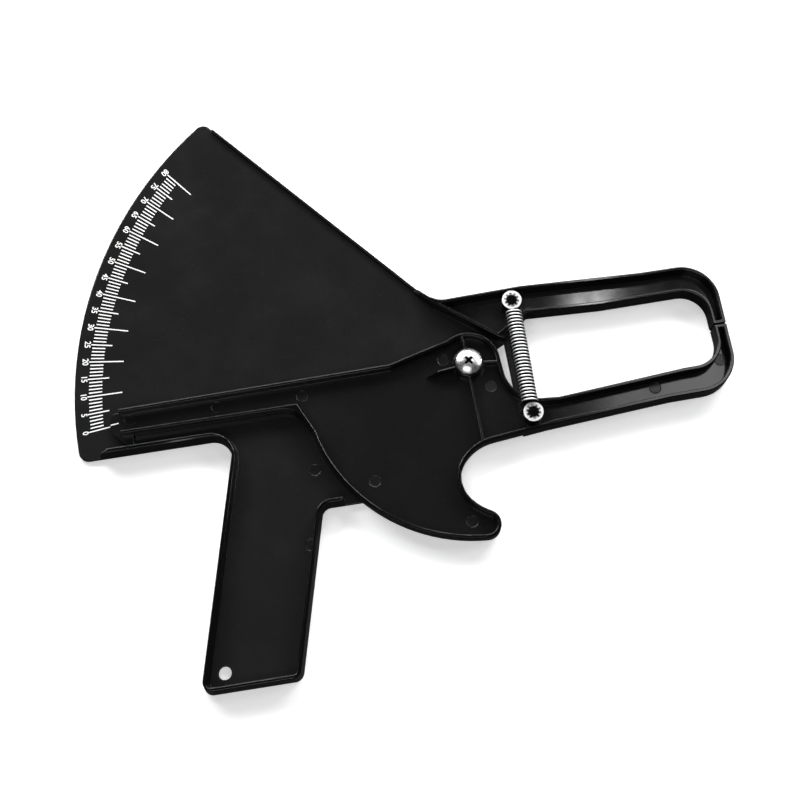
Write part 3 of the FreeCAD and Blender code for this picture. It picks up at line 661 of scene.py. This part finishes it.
def spin(piece, centre, axis, angle, steps):
    """Sweep the section round an axis."""
    only(piece)
    bpy.ops.object.mode_set(mode="EDIT")
    bpy.ops.mesh.select_all(action="SELECT")
    bpy.ops.mesh.spin(steps=steps, angle=angle, center=centre, axis=axis)
    bpy.ops.object.mode_set(mode="OBJECT")


def draw_out(piece, way):
    """Extrude the section along a straight line."""
    only(piece)
    bpy.ops.object.mode_set(mode="EDIT")
    bpy.ops.mesh.select_all(action="SELECT")
    bpy.ops.mesh.extrude_edges_move(TRANSFORM_OT_translate={"value": way})
    bpy.ops.object.mode_set(mode="OBJECT")


def spring_end(sizes, post, coil_edge, side):
    """The curl, stub and loop between a coil's end and a post, in the spring's own frame."""
    wire = sizes.wire / 2
    coil = (sizes.coil - sizes.wire) / 2
    ring = (sizes.loop - sizes.wire) / 2
    curl = wire_section(wire, (coil, coil_edge, 0), (0, 0, 0))
    spin(curl, (coil / 2, coil_edge, 0), (0, 1, 0), math.pi, 14)
    near = post.y - side * ring
    stub = wire_section(wire, (post.x, coil_edge, HOOK_DROP), (math.pi / 2, 0, 0))
    draw_out(stub, (0, near - coil_edge, 0))
    loop = wire_section(wire, (post.x, near, HOOK_DROP), (0, math.pi / 2, 0))
    spin(loop, (post.x, post.y, HOOK_DROP), (0, 0, 1), math.radians(338), 44)
    return [curl, stub, loop]


class CALIPER_OT_spring(bpy.types.Operator):
    """Wind the tension spring: a helical coil with a loop at each end"""

    bl_idname = "caliper.spring"
    bl_label = "Tension spring"

    def execute(self, context):
        sizes = context.scene.caliper_sizes
        lean, first = coil_place(sizes)
        pitch = (sizes.coil_length - sizes.wire) / sizes.turns
        radius = (sizes.coil - sizes.wire) / 2
        coil = wire_section(sizes.wire / 2, (radius, first - sizes.wire / 2, 0), (0, 0, 0))
        winding = coil.modifiers.new("Winding", "SCREW")
        winding.axis = "Y"
        winding.angle = 2 * math.pi
        winding.screw_offset = -pitch
        winding.iterations = sizes.turns
        winding.steps = 30
        winding.render_steps = 30
        winding.use_merge_vertices = False
        only(coil)
        bpy.ops.object.modifier_apply(modifier=winding.name)
        top = spring_end(sizes, Vector((0, 0, 0)), first - sizes.wire / 2, -1)
        last = first - sizes.coil_length + sizes.wire / 2
        foot = Vector((COIL_LEAN, -POST_GAP, 0))
        bottom = spring_end(sizes, foot, last, 1)
        for piece in [coil] + top + bottom:
            close_and_face_out(piece)
        spring = join([coil] + top + bottom, "coiled_spring")
        spring.matrix_world = Matrix.Translation(UPPER_POST) @ Matrix.Rotation(-lean, 4, "Z")
        settle_in_mesh(spring)
        bpy.ops.object.shade_smooth_by_angle(angle=math.radians(50))
        finish_piece(spring, finishes["wire"])
        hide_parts("tension_spring", "spring_lower_loop")
        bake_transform(spring)
        return {"FINISHED"}


def use_modifier(piece, modifier):
    """Apply a modifier."""
    only(piece)
    bpy.ops.object.modifier_apply(modifier=modifier.name)


def recess_blade(length, turn):
    """A cutter for one arm of the cross recess, narrower towards its foot."""
    start_fresh()
    middle = DOME_CENTRE + DOME_RADIUS - 0.45 * CROSS_DEPTH
    bpy.ops.mesh.primitive_cone_add(
        vertices=4, radius1=0.5 * length * math.sqrt(0.5), radius2=length * math.sqrt(0.5),
        depth=1.1 * CROSS_DEPTH, location=(0, 0, middle), rotation=(0, 0, math.radians(45)),
    )
    blade = bpy.context.object
    settle_in_mesh(blade)
    blade.scale = (1.0, 0.24, 1.0)
    blade.rotation_euler = (0, 0, turn)
    settle_in_mesh(blade)
    return blade


class CALIPER_OT_screw(bpy.types.Operator):
    """Turn the pivot screw: a pan head with a cross recess, on a plain shank"""

    bl_idname = "caliper.screw"
    bl_label = "Pivot screw"

    def execute(self, context):
        start_fresh()
        bpy.ops.mesh.primitive_uv_sphere_add(
            segments=64, ring_count=64, radius=DOME_RADIUS, location=(0, 0, DOME_CENTRE),
        )
        screw = bpy.context.object
        settle_in_mesh(screw)
        bpy.ops.object.mode_set(mode="EDIT")
        bpy.ops.mesh.select_all(action="SELECT")
        bpy.ops.mesh.bisect(
            plane_co=(0, 0, HEAD_BASE + HEAD_EDGE), plane_no=(0, 0, 1), clear_inner=True,
        )
        draw = bpy.ops.mesh.extrude_edges_move
        draw(TRANSFORM_OT_translate={"value": (0, 0, -HEAD_EDGE)})
        draw(TRANSFORM_OT_translate={"value": (0, 0, 0)})
        inwards = SHANK_RADIUS / HEAD_RADIUS
        bpy.ops.transform.resize(value=(inwards, inwards, 1), center_override=(0, 0, 0))
        draw(TRANSFORM_OT_translate={"value": (0, 0, 3 * SHANK_END - HEAD_BASE)})
        draw(TRANSFORM_OT_translate={"value": (0, 0, -2 * SHANK_END)})
        bpy.ops.transform.resize(value=(SHANK_TIP, SHANK_TIP, 1), center_override=(0, 0, 0))
        bpy.ops.object.mode_set(mode="OBJECT")
        close_and_face_out(screw)
        bevel = screw.modifiers.new("Rolled edge", "BEVEL")
        bevel.width = ROLLED_EDGE
        bevel.segments = 3
        bevel.limit_method = "ANGLE"
        bevel.angle_limit = math.radians(40)
        use_modifier(screw, bevel)
        for turn in (CROSS_TURN, CROSS_TURN + math.pi / 2):
            blade = recess_blade(context.scene.caliper_sizes.cross, turn)
            cut = screw.modifiers.new("Recess", "BOOLEAN")
            cut.operation = "DIFFERENCE"
            cut.solver = "EXACT"
            cut.object = blade
            use_modifier(screw, cut)
            bpy.data.objects.remove(blade)
        only(screw)
        bpy.ops.object.shade_smooth_by_angle(angle=math.radians(32))
        screw.name = "pan_head_screw"
        finish_piece(screw, finishes["screw"])
        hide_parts("pivot_screw")
        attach(screw, "body")
        return {"FINISHED"}


class CALIPER_OT_ejector_marks(bpy.types.Operator):
    """Press the round marks of the mould's ejector pins into the trays"""

    bl_idname = "caliper.ejector_marks"
    bl_label = "Ejector marks"

    def execute(self, context):
        radius = context.scene.caliper_sizes.mark / 2
        groups = (
            ("lever_marks", LEVER_MARKS, TRAY_FLOOR, "lever_arm"),
            ("arm_marks", ARM_MARKS, PLATE_TOP, "lever_arm"),
            ("frame_marks", FRAME_MARKS, PLATE_TOP, "body"),
        )
        for name, places, level, body in groups:
            marks = [self.mark(x * MM, y * MM, level, radius) for x, y in places]
            whole = join(marks, name)
            finish_piece(whole, finishes["marks"])
            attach(whole, body)
        return {"FINISHED"}

    def mark(self, x, y, level, radius):
        """A shallow dish with a thin raised edge."""
        start_fresh()
        bpy.ops.mesh.primitive_circle_add(
            vertices=40, radius=radius, fill_type="NGON", location=(x, y, level - INK),
        )
        dish = bpy.context.object
        settle_in_mesh(dish)
        bpy.ops.object.mode_set(mode="EDIT")
        bpy.ops.mesh.select_all(action="SELECT")
        bpy.ops.mesh.extrude_region_move(TRANSFORM_OT_translate={"value": (0, 0, 2 * INK)})
        bpy.ops.mesh.inset(thickness=MARK_EDGE, depth=-0.8 * INK)
        bpy.ops.object.mode_set(mode="OBJECT")
        close_and_face_out(dish)
        return dish


def tick_line(outer, inner, width, base):
    """A printed line: a thin bar between two points."""
    along = inner - outer
    start_fresh()
    bpy.ops.mesh.primitive_plane_add(size=1.0)
    bar = bpy.context.object
    bar.scale = (along.length, width, 1.0)
    bar.rotation_euler = (0, 0, math.atan2(along.y, along.x))
    middle = (outer + inner) / 2
    bar.location = (middle.x, middle.y, base)
    settle_in_mesh(bar)
    bpy.ops.object.mode_set(mode="EDIT")
    bpy.ops.mesh.select_all(action="SELECT")
    bpy.ops.mesh.extrude_region_move(TRANSFORM_OT_translate={"value": (0, 0, INK)})
    bpy.ops.mesh.select_all(action="SELECT")
    bpy.ops.mesh.normals_make_consistent(inside=False)
    bpy.ops.object.mode_set(mode="OBJECT")
    return bar


def scale_point(sizes, reading):
    """Outer end of a long tick for a reading, seen from the front."""
    angle = sizes.scale_start - sizes.scale_step * reading
    return Vector((math.cos(angle), math.sin(angle))) * sizes.scale_radius


class CALIPER_OT_scale(bpy.types.Operator):
    """Print the millimetre scale on the fan: ticks from 0 to 80 and their numbers"""

    bl_idname = "caliper.scale"
    bl_label = "Printed scale"

    def execute(self, context):
        sizes = context.scene.caliper_sizes
        ticks = []
        for reading in range(81):
            outer = scale_point(sizes, reading)
            inwards = (TICKS_MEET - outer).normalized()
            if reading % 10 == 0:
                length = sizes.tick_long
            elif reading % 5 == 0:
                length = sizes.tick_middle
            else:
                length = sizes.tick_short
                outer = outer + inwards * SHORT_TICK_INSET
            inner = outer + inwards * length
            ticks.append(tick_line(outer, inner, sizes.tick_width, PLATE_TOP - INK / 4))
        whole = join(ticks, "scale_ticks")
        finish_piece(whole, finishes["ink"])
        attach(whole, "body")
        numbers = [self.number(sizes, reading) for reading in range(0, 81, 5)]
        whole = join(numbers, "scale_numbers")
        finish_piece(whole, finishes["ink"])
        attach(whole, "body")
        return {"FINISHED"}

    def number(self, sizes, reading):
        """A number outside its tick, with its top towards the pivot."""
        start_fresh()
        bpy.ops.object.text_add(location=(0, 0, 0))
        text = bpy.context.object
        text.data.body = str(reading)
        text.data.size = sizes.number_height / CAPITAL_HEIGHT
        text.data.extrude = INK / 2
        text.data.offset = NUMBER_BOLDNESS
        text.data.resolution_u = 4
        bpy.ops.object.convert(target="MESH")
        text = bpy.context.object
        bpy.ops.object.origin_set(type="ORIGIN_GEOMETRY", center="BOUNDS")
        outer = scale_point(sizes, reading)
        inwards = (TICKS_MEET - outer).normalized()
        place = outer - inwards * (sizes.number_height / 2 + NUMBER_GAP)
        text.location = (place.x, place.y, PLATE_TOP + INK / 4)
        text.rotation_euler = (0, 0, math.atan2(inwards.y, inwards.x) - math.pi / 2)
        text.scale = (NUMBER_NARROWING, 1.0, 1.0)
        settle_in_mesh(text)
        close_and_face_out(text)
        return text


class CALIPER_OT_pointer_line(bpy.types.Operator):
    """Print the index line on the flat tip of the pointer"""

    bl_idname = "caliper.pointer_line"
    bl_label = "Index line"

    def execute(self, context):
        sizes = context.scene.caliper_sizes
        outer = scale_point(sizes, 0)
        inwards = (TICKS_MEET - outer).normalized()
        start = outer + inwards * INDEX_START
        end = outer + inwards * INDEX_END
        line = tick_line(start, end, sizes.tick_width, TRAY_FLOOR - INK / 4)
        line.name = "index_line"
        finish_piece(line, finishes["ink"])
        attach(line, "lever_arm")
        return {"FINISHED"}


class CALIPER_OT_studio(bpy.types.Operator):
    """Set up the pale floor, the soft lights and the camera"""

    bl_idname = "caliper.studio"
    bl_label = "Studio"

    def execute(self, context):
        colours = context.scene.caliper_colours
        start_fresh()
        bpy.ops.mesh.primitive_plane_add(size=FLOOR_SIDE, location=(0, 0, FLOOR_DROP))
        floor = bpy.context.object
        floor.name = "studio_floor"
        material, tree, shader, place = new_material("Pale floor")
        shade = noise(tree, place, 6.0, 2.0)
        dim = tuple(value * 0.985 for value in colours.floor)
        seen = mixed(tree, shade, colours.floor, dim)
        direct = tree.nodes.new("ShaderNodeLightPath").outputs["Is Camera Ray"]
        colour = mixed(tree, direct, FLOOR_REFLECTED, seen)
        tree.links.new(colour, shader.inputs["Base Color"])
        shader.inputs["Emission Color"].default_value = (1.0, 1.0, 1.0, 1.0)
        glow = maths(tree, "MULTIPLY", direct, FLOOR_GLOW)
        tree.links.new(glow, shader.inputs["Emission Strength"])
        shader.inputs["Roughness"].default_value = 0.8
        floor.data.materials.append(material)
        world = bpy.data.worlds.new("Soft room")
        world.use_nodes = True
        room = world.node_tree.nodes["Background"]
        room.inputs["Color"].default_value = ROOM_COLOUR
        room.inputs["Strength"].default_value = ROOM_STRENGTH
        context.scene.world = world
        context.scene.view_settings.view_transform = "Standard"
        for name, place, (length, height), power in LAMPS:
            start_fresh()
            bpy.ops.object.light_add(type="AREA", location=place)
            lamp = bpy.context.object
            lamp.name = name
            lamp.data.shape = "RECTANGLE"
            lamp.data.size = length
            lamp.data.size_y = height
            lamp.data.energy = power
            aim = Vector((0, 0, 0)) - Vector(place)
            lamp.rotation_euler = aim.to_track_quat("-Z", "Y").to_euler()
        start_fresh()
        bpy.ops.object.camera_add(
            location=CAMERA_PLACE,
            rotation=tuple(math.radians(turn) for turn in CAMERA_TURN_DEGREES),
        )
        camera = bpy.context.object
        camera.name = "Camera"
        camera.data.sensor_width = 36.0
        camera.data.lens = CAMERA_LENS
        camera.data.clip_start = 0.01
        context.scene.camera = camera
        return {"FINISHED"}


class CALIPER_PT_panel(bpy.types.Panel):
    bl_label = "Skinfold Caliper"
    bl_idname = "CALIPER_PT_panel"
    bl_space_type = "VIEW_3D"
    bl_region_type = "UI"
    bl_category = "Caliper"

    def draw(self, context):
        for group in (context.scene.caliper_sizes, context.scene.caliper_colours):
            column = self.layout.column()
            for name in group.__annotations__:
                column.prop(group, name)
        column = self.layout.column()
        for operator in steps:
            column.operator(operator.bl_idname)


steps = (
    CALIPER_OT_finishes,
    CALIPER_OT_screw,
    CALIPER_OT_spring,
    CALIPER_OT_ejector_marks,
    CALIPER_OT_scale,
    CALIPER_OT_pointer_line,
    CALIPER_OT_studio,
)
classes = (CaliperSizes, CaliperColours) + steps + (CALIPER_PT_panel,)


def register():
    for cls in classes:
        bpy.utils.register_class(cls)
    bpy.types.Scene.caliper_sizes = PointerProperty(type=CaliperSizes)
    bpy.types.Scene.caliper_colours = PointerProperty(type=CaliperColours)


def unregister():
    del bpy.types.Scene.caliper_colours
    del bpy.types.Scene.caliper_sizes
    for cls in reversed(classes):
        bpy.utils.unregister_class(cls)


def main():
    register()
    bpy.ops.caliper.finishes()
    bpy.ops.caliper.screw()
    bpy.ops.caliper.spring()
    bpy.ops.caliper.ejector_marks()
    bpy.ops.caliper.scale()
    bpy.ops.caliper.pointer_line()
    bpy.ops.caliper.studio()


if __name__ == "__main__":
    main()
